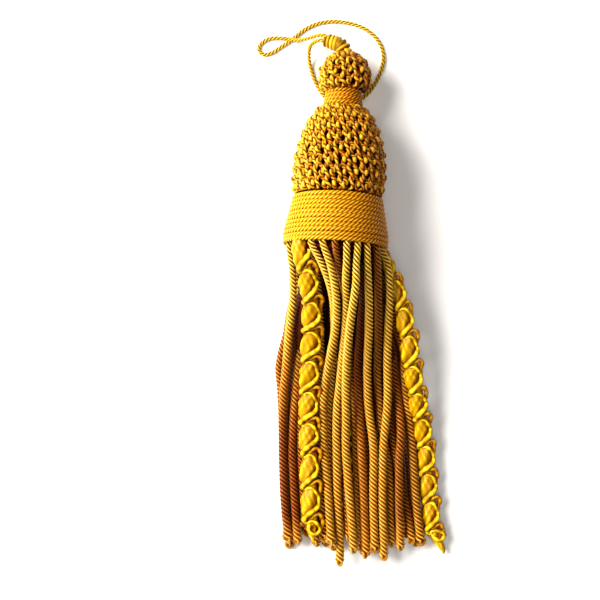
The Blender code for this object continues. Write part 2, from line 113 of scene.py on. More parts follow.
def smooth_path(points, step):
    """Evenly spaced points on the Catmull-Rom curve, a cubic between each two of the given ones."""
    points = np.asarray(points, float)
    points = np.concatenate([[2 * points[0] - points[1]], points, [2 * points[-1] - points[-2]]])
    a, b, c, d = (points[k:len(points) - 3 + k, None] for k in range(4))
    t = np.linspace(0, 1, 24, endpoint=False)[None, :, None]
    cubic = 0.5 * (2 * b + (c - a) * t + (2 * a - 5 * b + 4 * c - d) * t ** 2
                   + (3 * b - a - 3 * c + d) * t ** 3)
    fine = np.concatenate([cubic.reshape(-1, 3), points[-2:-1]])
    reach = reach_of(fine)
    even = np.linspace(0, reach[-1], round(reach[-1] / step) + 1)
    return np.stack([np.interp(even, reach, fine[:, k]) for k in range(3)], axis=1)


def frames(path, outward):
    """Directions ahead along a path, outward square to it, and the third one square to both."""
    ahead = unit(np.gradient(path, axis=0))
    outward = np.broadcast_to(outward, path.shape)
    outward = unit(outward - ahead * (outward * ahead).sum(1, keepdims=True))
    return ahead, outward, np.cross(ahead, outward)


def laid_cord(path, outward, radius, lay, plies=3, around=12, start=0.0, hollow=0.55, edge=0.75):
    """Rings of a cord laid from twisted plies, and how each point lies in its ply.

    At angle a the surface is radius * (hollow + (1 - hollow) * |cos(plies * a / 2)| ** edge) from
    the path, and the whole section turns back once in every lay. The point's lie is its distance
    across from its ply's crest, its distance along and a number for its ply, in mm. Its relief is
    1 on a crest and 0 in a groove.
    """
    _, side, above = frames(path, outward)
    reach = reach_of(path)
    angle = np.arange(around) * 2 * math.pi / around
    crest = np.abs(np.cos(plies * angle / 2)) ** edge
    turn = angle + start - 2 * math.pi * reach[:, None] / lay
    spoke = np.cos(turn)[..., None] * side[:, None] + np.sin(turn)[..., None] * above[:, None]
    radius = np.broadcast_to(radius, reach.shape)
    rings = path[:, None] + radius[:, None, None] * (hollow + (1 - hollow) * crest)[:, None] * spoke
    turns = plies * angle / (2 * math.pi)
    ply = np.round(turns)
    width = 2 * math.pi * radius.max() / plies / MM
    lie = np.stack(np.broadcast_arrays(
        np.abs(turns - ply) * width, 7.3 * (ply % plies) + start, reach[:, None] / MM), -1)
    return rings, lie, np.broadcast_to(crest, rings.shape[:2])


def soft_cord(path, outward, high, wide, around=8, seed=0.0):
    """Rings of a smooth oval cord, its lie and its relief.

    At angle a from outward the surface is high * cos(a) outward and wide * sin(a) to the side. The
    relief falls from 1 on the outer side to 0 just past the sides.
    """
    _, outward, side = frames(path, outward)
    angle = np.arange(around) * 2 * math.pi / around
    high, wide = (np.broadcast_to(half, len(path))[:, None, None] for half in (high, wide))
    rings = (path[:, None] + high * np.cos(angle)[:, None] * outward[:, None]
             + wide * np.sin(angle)[:, None] * side[:, None])
    lie = np.stack(np.broadcast_arrays(
        np.sin(angle) * wide[..., 0] / MM, np.cos(angle) * wide[..., 0] / MM + seed,
        reach_of(path)[:, None] / MM + 37 * seed), -1)
    relief = np.clip((np.cos(angle) + 0.2) / 1.2, 0, 1) ** 0.7
    return rings, lie, np.broadcast_to(relief, rings.shape[:2])


def tube_faces(rows, around):
    """Quads between neighbouring rings of a tube, and one face over each of its ends."""
    row, column = np.meshgrid(np.arange(rows - 1), np.arange(around), indexing="ij")
    after = (column + 1) % around
    low, high = row * around, (row + 1) * around
    quads = np.stack([low + column, low + after, high + after, high + column], -1).reshape(-1, 4)
    first = list(reversed(range(around)))
    last = list(range((rows - 1) * around, rows * around))
    return [*quads.tolist(), first, last]


def add_tubes(name, tubes, slot, *nodes):
    """One object made of closed tubes, each with its rings, its lie and its tone.

    The lie and the tone are kept on the points, where the material reads them.
    """
    faces, before = [], 0
    for rings, lie, tone in tubes:
        faces += [[before + i for i in face] for face in tube_faces(*rings.shape[:2])]
        before += rings.shape[0] * rings.shape[1]
    mesh = bpy.data.meshes.new(name)
    mesh.from_pydata(np.concatenate([t[0].reshape(-1, 3) for t in tubes]).tolist(), [], faces)
    mesh.shade_smooth()
    for key, place in (("lie", 1), ("tone", 2)):
        values = np.concatenate([t[place].reshape(-1, 3) for t in tubes])
        attribute = mesh.attributes.new(key, "FLOAT_VECTOR", "POINT")
        attribute.data.foreach_set("vector", values.ravel())
    thing = bpy.data.objects.new(name, mesh)
    bpy.context.scene.collection.objects.link(thing)
    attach(thing, "root")
    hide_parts(*nodes)
    return thing


def toned(relief, light=1.0, warmth=0.0):
    """A tone for each point: its relief, how much light reaches it, and how orange it is."""
    # The relief and the light become painted shade and highlights in the colour, and the orange is
    # partly the yarn's own tone and partly painted shade
    return np.stack(np.broadcast_arrays(relief, light, warmth), -1)


def faced(spoke):
    """The light on a round part by the way it faces: full on the left, failing to the right."""
    return 0.87 - 0.15 * spoke[..., 0] + 0.06 * np.minimum(spoke[..., 2], 0)


class Shade:
    """A socket in a material. Sums, differences and products of it add Math nodes."""

    def __init__(self, tree, socket):
        self.tree, self.socket = tree, socket

    def node(self, kind, settings=None, inputs=None, output=0):
        """Any other node, from its type, its settings and the values or links of its sockets."""
        node = self.tree.nodes.new(kind)
        for key, value in (settings or {}).items():
            if key == "stops":
                ramp = node.color_ramp.elements
                while len(ramp) < len(value):
                    ramp.new(0.5)
                for stop, (place, colour) in zip(ramp, value):
                    stop.position, stop.color = place, (*colour, 1)
            else:
                setattr(node, key, value)
        for key, value in (inputs or {}).items():
            if isinstance(value, Shade):
                self.tree.links.new(value.socket, node.inputs[key])
            else:
                node.inputs[key].default_value = value
        return Shade(self.tree, node.outputs[output])

    def math(self, operation, *values):
        """A Math node."""
        return self.node("ShaderNodeMath", {"operation": operation}, dict(enumerate(values)))

    def __add__(self, other):
        return self.math("ADD", self, other)

    def __sub__(self, other):
        return self.math("SUBTRACT", self, other)

    def __rsub__(self, other):
        return self.math("SUBTRACT", other, self)

    def __mul__(self, other):
        return self.math("MULTIPLY", self, other)

    __radd__ = __add__
    __rmul__ = __mul__


# Shared by every yarn: how fine the fibres are along a ply, and how deep; how fine the patches of
# uneven dye are, and the orange that they and yarn in painted shade turn to; the gloss's colour; and
# the painted shade that failing light leaves
FIBRES_ALONG, FIBRE_DEPTH = 0.45, 0.12 * MM
PATCHES = 160.0
ORANGE_YARN = (0.62, 0.22, 0.02)
YARN_GLINT = (1.0, 0.95, 0.74)
DUSK = [
    (0.0, (0.05, 0.007, 0.004)), (0.4, (0.37, 0.17, 0.12)), (0.75, (0.79, 0.565, 0.43)),
    (1.0, (1.0, 1.0, 1.0)),
]


def yarn_material(name, dark, middle, light, pale, fibres=5.0, shine=0.38, gloss=0.35, bump=0.35):
    """Satin rayon: painted shade in grooves, painted highlights on crests, fine fibres along each ply.

    The colour runs from dark through middle to pale with the relief, which paints shade in the
    grooves and highlights on the crests. It moves towards orange with patches of uneven dye and with
    the warmth, which is partly the yarn's own tone and partly painted shade, and it is multiplied by
    the light that reaches the strand, a painted shade which turns orange and then maroon as it fails.
    The fibres are noise that is fine across the ply and drawn out along it.
    """
    material = bpy.data.materials.new(name)
    material.use_nodes = True
    tree = material.node_tree
    shader = tree.nodes["Principled BSDF"]
    start = Shade(tree, None)
    tone = start.node("ShaderNodeAttribute", {"attribute_name": "tone"}, output=1)
    parts = start.node("ShaderNodeSeparateXYZ", None, {"Vector": tone})
    relief, lit, warmth = (Shade(tree, socket) for socket in parts.socket.node.outputs)
    lie = start.node("ShaderNodeAttribute", {"attribute_name": "lie"}, output=1)
    drawn = start.node("ShaderNodeVectorMath", {"operation": "MULTIPLY"},
                       {0: lie, 1: (fibres, fibres, FIBRES_ALONG)})
    fibre = start.node("ShaderNodeTexNoise", None, {"Vector": drawn, "Scale": 1.0, "Detail": 2.0})
    place = start.node("ShaderNodeTexCoord", output=3)
    patch = start.node(
        "ShaderNodeTexNoise", None, {"Vector": place, "Scale": PATCHES, "Detail": 1.0})
    # Painted shade and highlight: the colour follows the relief, dark in the grooves, pale on the crests
    height = relief + (fibre - 0.5) * 0.5
    colour = start.node("ShaderNodeValToRGB", {
        "stops": [(0.0, dark), (0.42, middle), (0.82, light), (1.0, pale)]}, {"Fac": height})
    # Patches of uneven dye, and the warmth, which is partly painted shade, pull the colour towards
    # orange
    uneven = (patch - 0.5) * 0.4 + warmth
    mixed = start.node("ShaderNodeMix", {"data_type": "RGBA"},
                       {0: uneven, 6: colour, 7: (*ORANGE_YARN, 1)}, output=2)
    dusk = start.node("ShaderNodeValToRGB", {"stops": DUSK}, {"Fac": lit})
    shaded = start.node("ShaderNodeVectorMath", {"operation": "MULTIPLY"}, {0: mixed, 1: dusk})
    tree.links.new(shaded.socket, shader.inputs["Base Color"])
    rough = (fibre - 0.5) * 0.2 + shine
    tree.links.new(rough.socket, shader.inputs["Roughness"])
    grain = start.node(
        "ShaderNodeBump", None, {"Strength": bump, "Distance": FIBRE_DEPTH, "Height": fibre})
    tree.links.new(grain.socket, shader.inputs["Normal"])
    shader.inputs["Specular IOR Level"].default_value = gloss
    shader.inputs["Specular Tint"].default_value = (*YARN_GLINT, 1)
    return material


def collar_path(rows):
    """The winding's centreline: out of the knob's top, then in an arc over to the left."""
    start = RIM_CENTRE + AXIS * KNOB_AT + KNOB_AXIS * (KNOB_TOP + 2 * GAP)
    step = COLLAR_LENGTH / rows
    bend = np.minimum(np.arange(rows + 1) * step / COLLAR_BEND_RADIUS, COLLAR_BEND)
    leftwards = unit(KNOB_ACROSS + np.array([0, 0, COLLAR_DROOP]))
    heading = np.cos(bend)[:, None] * KNOB_AXIS - np.sin(bend)[:, None] * leftwards
    steps = (heading[:-1] + heading[1:]) * step / 2
    return start + np.concatenate([[np.zeros(3)], np.cumsum(steps, axis=0)])


collar_line = collar_path(COLLAR_ROWS)
out = unit(collar_line[-1] - collar_line[-2])
mouth = collar_line[-1] + out * MOUTH_GAP
apart = np.cross(out, (0, 0, 1)) * (CORD_RADIUS + GAP / 2)
first_end = [mouth + apart - out * DOWN_INTO_COLLAR, mouth + apart + out * OUT_OF_COLLAR["first"]]
last_end = [mouth - apart + out * OUT_OF_COLLAR["last"], mouth - apart - out * DOWN_INTO_COLLAR]
cord_line = smooth_path([*first_end, *(np.array(CORD_ROUTE) * MM), *last_end], CORD_STEP)
cord_line[:, 2] = np.maximum(cord_line[:, 2], CORD_RADIUS)
rings, lie, relief = laid_cord(
    cord_line, (0, 0, 1), CORD_RADIUS, CORD_LAY, around=18, hollow=0.5, edge=1.1)
rings[..., 2] = np.maximum(rings[..., 2], 0)
hanging_cord = add_tubes(
    "hanging_cord_yarn", [(rings, lie, toned(relief))], "cord_yarn", "hanging_cord")
hanging_cord.data.materials.append(yarn_material(
    "cord_rayon", (0.07, 0.016, 0.0006), (0.32, 0.165, 0.006), (0.60, 0.38, 0.02), (0.80, 0.60, 0.10)))
tuple(mouth + apart)

# The winding on top of the knob: smooth rayon yarn whipped tightly round the cord's two ends,
# where they come out of the knob and bend over.
COLLAR_RADIUS = {"knob": 2.9 * MM, "mouth": 2.5 * MM}
WHIPPING_TURNS, WHIPPING_STEPS, WHIPPING_AROUND = 7, 34, 10
WHIPPING_RADIUS = 0.72 * MM
HARDLY_LAID = 60 * MM
count = WHIPPING_TURNS * WHIPPING_STEPS
line = collar_path(count)
_, side, above = frames(line, UP)
turn = np.arange(count + 1) * 2 * math.pi / WHIPPING_STEPS
spoke = np.cos(turn)[:, None] * side + np.sin(turn)[:, None] * above
width = np.linspace(COLLAR_RADIUS["knob"], COLLAR_RADIUS["mouth"], count + 1) - WHIPPING_RADIUS
whipping = line + spoke * width[:, None]
rings, lie, relief = laid_cord(
    whipping, spoke, WHIPPING_RADIUS, HARDLY_LAID, plies=1, around=WHIPPING_AROUND, hollow=1.0)
outer = np.cos(np.arange(WHIPPING_AROUND) * 2 * math.pi / WHIPPING_AROUND) * 0.5 + 0.5
core_rings, core_lie, core_relief = laid_cord(
    line, UP, COLLAR_RADIUS["mouth"] - WHIPPING_RADIUS, HARDLY_LAID, plies=1, around=16, hollow=1.0)
# Painted highlight and shade: each turn of the whipping is paler on one side and darker on the other, at
# a little less than full light, and the core, seen between the turns, is drawn dark
collar = add_tubes("knob_whipping", [
    (rings, lie, toned(0.12 + 0.78 * np.broadcast_to(outer, relief.shape), light=0.96)),
    (core_rings, core_lie, toned(core_relief * 0.2)),
], "cord_yarn", "top_knot")
collar.data.materials.append(yarn_material(
    "whipping_rayon", (0.12, 0.03, 0.0008), (0.42, 0.23, 0.008), (0.68, 0.46, 0.03), (0.84, 0.64, 0.10)))

# The band: one three-ply rayon cord wound eleven times round the foot of the turned mould, tight
# against itself, over the roots of the fringe. Under it the head rests on the table.
BAND_CORD_LAY = 4.7 * MM
BAND_PITCH = BAND_LENGTH / BAND_TURNS
BAND_CORD_RADIUS = 0.87 * MM
BAND_STEP = 0.45 * MM
TUCKED = 0.35 * MM


def band_radius(along):
    """The band's radius: a short straight belly, then a taper to the top."""
    return np.interp(
        along, (0, BAND_BELLY_AT, BAND_LENGTH),
        (BAND_RADIUS["rim"], BAND_RADIUS["belly"], BAND_RADIUS["top"]),
    )


def on_axis(along, radius, turn, axis=AXIS, across=ACROSS, start=RIM_CENTRE):
    """Points at a distance along an axis, a radius from it and an angle from its upper side.

    Also returns the direction outward from the axis at each point.
    """
    spoke = (np.cos(turn)[..., None] * np.cross(across, axis)
             + np.sin(turn)[..., None] * across)
    along, radius = (np.asarray(v)[..., None] for v in (along, radius))
    return start + along * axis + radius * spoke, spoke


def winding(turns, pitch, first, radius_at, cord_radius, seed):
    """A cord wound round the head's axis from below: a helix with small uneven gaps.

    The first and last half turns lie level, so that the winding's two rims are straight, and the
    cord's ends are tucked in. Returns its line and the direction outward.
    """
    count = round(turns * 2 * math.pi * radius_at(pitch) / BAND_STEP)
    round_by = np.linspace(0.1, turns - 0.1, count)
    level = np.clip(round_by, 0.5, turns - 0.5)
    uneven = (0.5 * np.sin(level * 2 * math.pi * 1.13 + seed)
              + 0.5 * np.sin(level * 2 * math.pi * 0.39 + 2 * seed))
    along = pitch * (level + 0.05 * uneven)
    tuck = np.clip((0.2 - np.minimum(round_by, turns - round_by)) / 0.1, 0, 1) * TUCKED
    return on_axis(
        along + first, radius_at(along) - cord_radius - tuck, math.pi + 2 * math.pi * round_by)


band_line, spoke = winding(BAND_TURNS, BAND_PITCH, 0.0, band_radius, BAND_CORD_RADIUS, 0.6)
rings, lie, relief = laid_cord(
    band_line, spoke, BAND_CORD_RADIUS, BAND_CORD_LAY, hollow=0.66, edge=1.0)
rings[..., 2] = np.maximum(rings[..., 2], 0)
tone = toned(relief, faced(spoke)[:, None])
band = add_tubes("band_cord", [(rings, lie, tone)], "band_yarn", "band")
band_material = yarn_material(
    "band_rayon", (0.15, 0.03, 0.0008), (0.45, 0.21, 0.004), (0.74, 0.46, 0.015), (0.86, 0.62, 0.06))
band.data.materials.append(band_material)

# The neck binding: the same cord wound five times round the neck, between the head and the knob.
# It gathers the top of the net and covers the joint of the two moulds.
DOME_TOP_AT = 49.2 * MM
NECK_LENGTH, NECK_TURNS = 7.4 * MM, 5
NECK_RADIUS, NECK_FLARE = 6.5 * MM, 0.8 * MM
NECK_CORD_RADIUS, NECK_CORD_LAY = 0.86 * MM, 0.9 * BAND_CORD_LAY
NECK_SHADE = 0.87


def neck_radius(along):
    """The neck's radius, which flares a little towards the dome."""
    return NECK_RADIUS + NECK_FLARE * (1 - along / NECK_LENGTH) ** 2


neck_line, spoke = winding(NECK_TURNS, NECK_LENGTH / NECK_TURNS, DOME_TOP_AT + GAP,
                           neck_radius, NECK_CORD_RADIUS, 2.1)
rings, lie, relief = laid_cord(
    neck_line, spoke, NECK_CORD_RADIUS, NECK_CORD_LAY, hollow=0.62, edge=1.0)
tone = toned(relief, NECK_SHADE * faced(spoke)[:, None])
neck = add_tubes("neck_cord", [(rings, lie, tone)], "band_yarn", "neck_binding")
neck.data.materials.append(band_material)

# The net over the head: fine rayon cord looped round by round over a pear-shaped mould, each loop
# hooked through the one above. Between the loops the dark lining of the mould shows.
DOME_OUTLINE = {  # height and radius in mm
    "height": (17.6, 21.0, 25.5, 30.0, 34.7, 38.2, 41.8, 45.3, 47.5, 49.2),
    "radius": (15.9, 16.4, 16.8, 16.5, 15.6, 14.6, 13.4, 11.6, 9.9, 7.6),
}
NET_SLANT, NET_STEPS = 0.21, 32


def outline_radius(outline, along):
    """The radius that an outline gives at each height."""
    return np.interp(along / MM, outline["height"], outline["radius"]) * MM


def looped_net(outline, first, last, rounds, stitches, cord_radius, slant, swelling, **axes):
    """One cord looped round and round an axis: line, outward direction, radius and light on it.

    Over one stitch its angle is t / stitches plus a sine of 2t, and its height swings by cos(t)
    times most of a round, so that it hooks the loops above and below. It lies on top where it
    rises, dips under, and comes up again as a short lump where it falls, at sin(t) = 1.
    """
    count = round(rounds * stitches * NET_STEPS)
    t = np.linspace(0, rounds * stitches, count) * 2 * math.pi
    pitch = (last - first) / (rounds - 1)
    level = np.clip(t / (2 * math.pi * stitches), 0.5, rounds - 0.5) - 0.5
    uneven = np.sin(t * 0.377 + 1.3 * np.sin(t * 0.0613)) + 0.6 * np.sin(t * 0.731 + 2)
    swing = (0.70 + 0.10 * uneven) * pitch
    along = first + pitch * level + swing * np.cos(t + 0.3 * np.sin(2 * t))
    low = outline["height"][0] * MM + cord_radius
    high = outline["height"][-1] * MM - 0.5 * cord_radius
    beyond = np.maximum(low - along, along - high).clip(0)
    along = np.clip(along, low, high)
    turn = (t / (2 * math.pi) + 0.18 * np.sin(2 * t)
            + 0.13 * np.sin(t * 0.71) * np.sin(t * 0.093 + 1))
    turn = turn * 2 * math.pi / stitches - slant * (along - DOME_WIDEST_AT) / DOME_RADIUS
    lump = np.clip(np.sin(t), 0, 1) ** 4
    rising = np.clip(-np.sin(t), 0, 1) ** 0.6
    under = 1.9 - 1.6 * rising - (1.9 + 0.15 * uneven) * lump
    radius = outline_radius(outline, along) - cord_radius * (1 + under) - 0.3 * beyond
    line, spoke = on_axis(along, radius, turn + math.pi, **axes)
    thick = cord_radius * (1 + (swelling + 0.10 * uneven) * lump)
    buried = np.clip((outline_radius(outline, along) - radius - cord_radius) / (2.0 * MM), 0, 1)
    return line, spoke, thick, (faced(spoke) + 0.06) * (1 - 0.6 * buried)


NET_CORD_RADIUS, NET_CORD_LAY = 0.72 * MM, 4.0 * MM
net_line, spoke, thick, light = looped_net(
    DOME_OUTLINE, first=19.6 * MM, last=48 * MM, rounds=7.9, stitches=24,
    cord_radius=NET_CORD_RADIUS, slant=NET_SLANT, swelling=0.42)
rings, lie, relief = laid_cord(net_line, spoke, thick, NET_CORD_LAY, plies=2, around=8, hollow=0.7)
rings[..., 2] = np.maximum(rings[..., 2], 0)
tone = toned(relief, light[:, None])
dome_net = add_tubes("dome_net", [(rings, lie, tone)], "net_yarn", "dome_cover")
net_material = yarn_material(
    "net_rayon", (0.08, 0.010, 0.0005), (0.31, 0.14, 0.004), (0.62, 0.40, 0.02), (0.80, 0.58, 0.08))
dome_net.data.materials.append(net_material)

# The lining of the head and the knob: smooth dark brown silk over the turned moulds, seen only
# through the holes of the net.
KNOB_OUTLINE = {  # height from the knob's middle and radius in mm
    "height": (-7.6, -5.5, -3.0, 0.0, 2.6, 4.4, 5.6, 6.4),
    "radius": (8.4, 9.5, 9.9, 9.6, 8.5, 6.9, 5.1, 3.3),
}
LINING_UNDER_NET = 2.6 * MM
LINING_ROWS, LINING_AROUND = 40, 72


def lining(outline, **axes):
    """A closed smooth surface of revolution a little inside an outline."""
    along = np.linspace(outline["height"][0], outline["height"][-1], LINING_ROWS) * MM
    turn = np.tile(np.arange(LINING_AROUND) * 2 * math.pi / LINING_AROUND, (LINING_ROWS, 1))
    radius = outline_radius(outline, along)[:, None] - LINING_UNDER_NET
    rings, _ = on_axis(np.broadcast_to(along[:, None], turn.shape), radius, turn, **axes)
    lie = np.stack(np.broadcast_arrays(turn * 10, along[:, None] / MM, 0), -1)
    # Painted shade: the lining is drawn at about a third of the light, on top of its own dark brown, so
    # that the net's holes show dark
    return rings, lie, toned(0.15, 0.35, np.zeros(turn.shape))


lining_material = yarn_material(
    "lining_silk", (0.08, 0.009, 0.002), (0.10, 0.011, 0.002), (0.09, 0.012, 0.003),
    (0.10, 0.015, 0.004), gloss=0.05)
dome_lining = add_tubes("dome_lining", [lining(DOME_OUTLINE)], "net_yarn", "dome_cover")
dome_lining.data.materials.append(lining_material)
knob_middle = {"axis": KNOB_AXIS, "across": KNOB_ACROSS, "start": RIM_CENTRE + AXIS * KNOB_AT}
knob_lining = add_tubes(
    "knob_lining", [lining(KNOB_OUTLINE, **knob_middle)], "net_yarn", "knob_cover")
knob_lining.data.materials.append(lining_material)

# The net over the knob: the same looped cord, a little thicker, in four wide rounds over a small
# ball mould. Its top is gathered under the whipping.
KNOB_CORD_RADIUS, KNOB_CORD_LAY = 0.8 * MM, 4.2 * MM
net_line, spoke, thick, light = looped_net(
    KNOB_OUTLINE, first=-5.4 * MM, last=5.0 * MM, rounds=3.9, stitches=12,
    cord_radius=KNOB_CORD_RADIUS, slant=0.0, swelling=0.18, **knob_middle)
rings, lie, relief = laid_cord(net_line, spoke, thick, KNOB_CORD_LAY, plies=2, around=8, hollow=0.7)
tone = toned(relief, light[:, None])
knob_net = add_tubes("knob_net", [(rings, lie, tone)], "net_yarn", "knob_cover")
knob_net.data.materials.append(net_material)

# The fringe: bullion, soft yarns twisted hard together, each doubled back at the end, so that a
# strand ends in small loops. The strands' heads are sewn to a round backing under the band, and
# they settle into a heap on the table, some on top of others.
FALLS = [f * MM for f in (0, 8, 17, 28, 41, 54, 72, 90, 106)]
FRINGE_END = 112 * MM
STATIONS = 19
STRAND_HALF = {"across": 1.4 * MM, "up": 1.4 * MM}
SCROLL_HALF = {"across": 2.9 * MM, "up": 2.4 * MM}
ROOM = 0.25 * MM
OUTER_RING, INNER_RING = 16.2 * MM, 10.4 * MM
INNER_PLACES = 13
BACKING_RADIUS, BACKING_THICK = 15.3 * MM, 2.5 * MM
FALLING, RESTING, PARTING = 220, 80, 80
STIFF_DOWN, STIFF_ACROSS = 4.0, 1.0
FALL_STEP = 0.3 * MM
PULL_SHOWN, PULL_UNDER = 0.15, 0.03
# Strands that show: ring, place round the ring in degrees clockwise from the top, rank when they
# cross (the higher lies on top), length in mm, and the way across in mm at each of FALLS
COLUMNS = ("ring", "place", "rank", "length", "across")
SHOWN = {
    "edge_left": (
        OUTER_RING, -80, 1, 104, (-16.3, -14.9, -14.7, -16.1, -17.0, -17.7, -18.1, -17.4, -16.0)),
    "behind_scroll": (
        OUTER_RING, -97, 0, 105, (-16.3, -13.8, -12.4, -12.9, -14.3, -15.2, -14.7, -13.5, -12.8)),
    "scroll_left": (OUTER_RING, -52, 3, 103, (-12.2, -10.5, -9.0, -8.8, -9.3, -9.9, -10.3, -9.7, -7.8)),
    "beside_scroll": (INNER_RING, -46, 1, 103, (-8.2, -7.5, -6.5, -5.8, -5.9, -6.3, -5.8, -4.7, -4.9)),
    "front_1": (OUTER_RING, -32, 1, 107, (-8.7, -3.5, -0.8, 0.1, -0.1, -0.6, -1.3, -1.3, -0.9)),
    "front_2": (OUTER_RING, -17, 3, 104, (-5.0, -1.8, -0.2, 0.0, -2.3, -4.4, -4.5, -3.0, -2.1)),
    "front_3": (OUTER_RING, -2, 0, 108, (-0.5, 1.5, 3.3, 4.9, 5.9, 6.5, 6.9, 7.1, 7.7)),
    "front_4": (OUTER_RING, 12, 2, 112, (3.6, 2.6, 3.6, 3.5, 2.3, 1.4, 0.8, 1.5, 2.2)),
    "front_5": (OUTER_RING, 26, 3, 107, (6.5, 5.8, 4.9, 4.1, 3.6, 3.5, 3.4, 4.5, 5.9)),
    "deep_1": (INNER_RING, 42, 1, 109, (5.6, 7.3, 8.4, 8.4, 7.8, 8.6, 9.4, 10.4, 11.3)),
    "front_6": (OUTER_RING, 40, 3, 107, (10.3, 10.5, 11.0, 11.1, 11.0, 11.5, 13.7, 13.6, 14.3)),
    "front_7": (OUTER_RING, 58, 1, 106, (14.2, 14.2, 14.7, 15.3, 15.7, 16.8, 19.1, 20.2, 20.2)),
    "front_8": (OUTER_RING, 77, 3, 110, (16.8, 18.2, 18.7, 18.5, 18.3, 18.7, 17.4, 17.0, 17.7)),
    "scroll_right": (OUTER_RING, 98, 3, 109, (16.0, 20.0, 23.7, 25.7, 27.6, 29.9, 32.9, 34.7, 37.4)),
    "deep_2": (OUTER_RING, 115, 1, 107, (14.7, 17.4, 19.6, 21.0, 22.0, 22.7, 22.5, 23.0, 23.4)),
    "deep_3": (OUTER_RING, 129, 0, 106, (12.6, 16.0, 19.2, 21.6, 23.4, 24.6, 24.7, 26.0, 27.3)),
    "edge_right": (INNER_RING, 97, 2, 105, (10.3, 14.6, 18.8, 22.2, 24.1, 25.9, 27.3, 28.7, 30.6)),
}
# Places on the outer ring of the strands that lie underneath, the third scroll among them
UNDER_PLACES = (142.5, 156.5, 171, 207, 221, 235, 249.5)
UNDER_SCROLL_PLACE = 189


def ring_place(ring, place, along=-2 * GAP):
    """Where a strand leaves the backing: a point on one of its two rings."""
    turn = math.radians(place)
    return RIM_CENTRE + AXIS * along + ring * (math.sin(turn) * ACROSS + math.cos(turn) * UP)


def strand_list():
    """Every strand of the fringe: its root, half sizes, rank, length, way across, and pull to it."""
    falls = np.linspace(0, FRINGE_END, STATIONS)
    strands = {}
    for name, row in SHOWN.items():
        strand = dict(zip(COLUMNS, row))
        strand["across"] = np.interp(falls, FALLS, np.array(strand["across"]) * MM)
        strand["pull"] = PULL_SHOWN
        strands[name] = strand
    left, right = strands["edge_left"]["across"], strands["scroll_right"]["across"]
    hidden = {f"under_{k}": (OUTER_RING, place) for k, place in enumerate(UNDER_PLACES)}
    hidden["scroll_under"] = (OUTER_RING, UNDER_SCROLL_PLACE)
    taken = [s["place"] % 360 for s in strands.values() if s["ring"] == INNER_RING]
    for k in range(INNER_PLACES):
        place = (k + 0.5) * 360 / INNER_PLACES
        if min(abs(place - other) for other in taken) > 180 / INNER_PLACES:
            hidden[f"inner_{k}"] = (INNER_RING, place)
    for k, (name, (ring, place)) in enumerate(hidden.items()):
        share = 0.5 + 0.5 * math.sin(math.radians(place)) * ring / OUTER_RING
        length = 103 + 4 * math.sin(2.4 * k)
        strands[name] = {
            "ring": ring, "place": place, "rank": 0, "length": length,
            "across": left + (right - left) * share, "pull": PULL_UNDER,
        }
    for name, strand in strands.items():
        half = SCROLL_HALF if name.startswith("scroll") else STRAND_HALF
        strand["half"] = (half["across"], half["up"])
        strand["root"] = ring_place(strand["ring"], strand["place"])
        strand["across"][0] = strand["root"][0]
    return falls, strands


def bending(stiffness, count):
    """The matrix that straightens a strand held at its root: (1 + stiffness * bend energy)^-1."""
    second = np.eye(count) - 2 * np.eye(count, k=-1) + np.eye(count, k=-2)
    return np.linalg.inv(np.eye(count) + stiffness * second.T @ second)


def parted(places, reach, order, pairs):
    """How far each strand moves so that no two share room, at each cross-section.

    Two strands touch where the eighth-power mean of their distances across and up, each over the
    sum of their half sizes, is under one. Where their ranks differ, the higher one moves up.
    """
    apart = places[:, pairs[0]] - places[:, pairs[1]]
    share = apart / reach
    near = np.maximum((share ** 8).sum(-1) ** 0.125, 1e-3)
    way = np.sign(share) * np.abs(share / near[..., None]) ** 7
    ranked = np.stack([0.25 * np.sign(apart[..., 0]), order * np.ones_like(near)], -1)
    way = np.where((order != 0)[None, :, None], ranked, way)
    move = way * (np.clip(1 - near, 0, None)[..., None] * reach * 0.35)
    moves = np.zeros_like(places)
    for strand in range(places.shape[1]):
        moves[:, strand] += move[:, pairs[0] == strand].sum(1)
        moves[:, strand] -= move[:, pairs[1] == strand].sum(1)
    return moves


def settle(falls, strands):
    """Let the strands bend down from the band and come to rest in a heap on the table.

    Where strands cross, their ranks say which lies on top, but for the last steps, which only part
    them. Returns the way across and the height of every strand at each of the falls.
    """
    rows = list(strands.values())
    root = np.array([[s["root"][0], s["root"][2]] for s in rows])
    half = np.array([s["half"] for s in rows]) + ROOM
    rank = np.array([s["rank"] for s in rows])
    pull = np.array([s["pull"] for s in rows])
    wanted = np.array([s["across"] for s in rows]).T
    places = np.stack([wanted, np.tile(root[:, 1], (len(falls), 1))], -1)
    pairs = np.triu_indices(len(rows), 1)
    reach = half[pairs[0]] + half[pairs[1]]
    order = np.sign(rank[pairs[0]] - rank[pairs[1]])
    for step in range(FALLING + RESTING + PARTING):
        crossing = step < FALLING + RESTING
        if crossing:
            ease = max(0.0, 1 - max(0, step - FALLING) / RESTING)
            down = bending(STIFF_DOWN * ease, len(falls) - 1)
            sideways = bending(STIFF_ACROSS * ease, len(falls) - 1)
            height = places[1:, :, 1] - root[:, 1] - FALL_STEP * ease
            places[1:, :, 1] = down @ height + root[:, 1]
            places[1:, :, 0] = sideways @ (places[1:, :, 0] - wanted[1:]) + wanted[1:]
            places[..., 0] += pull * ease * (wanted - places[..., 0])
        order_now = order if crossing else np.zeros_like(order)
        moves = parted(places, reach, order_now, pairs)
        between = parted((places[1:] + places[:-1]) / 2, reach, order_now, pairs)
        places[1:] += moves[1:] + between / 2
        places[1:-1] += between[1:] / 2
        places[..., 1] = np.maximum(places[..., 1], half[:, 1])
        places[0] = root
    return places


SEWN_UNDER_BAND = 1.5 * MM
SEWN_RING = 14.9 * MM


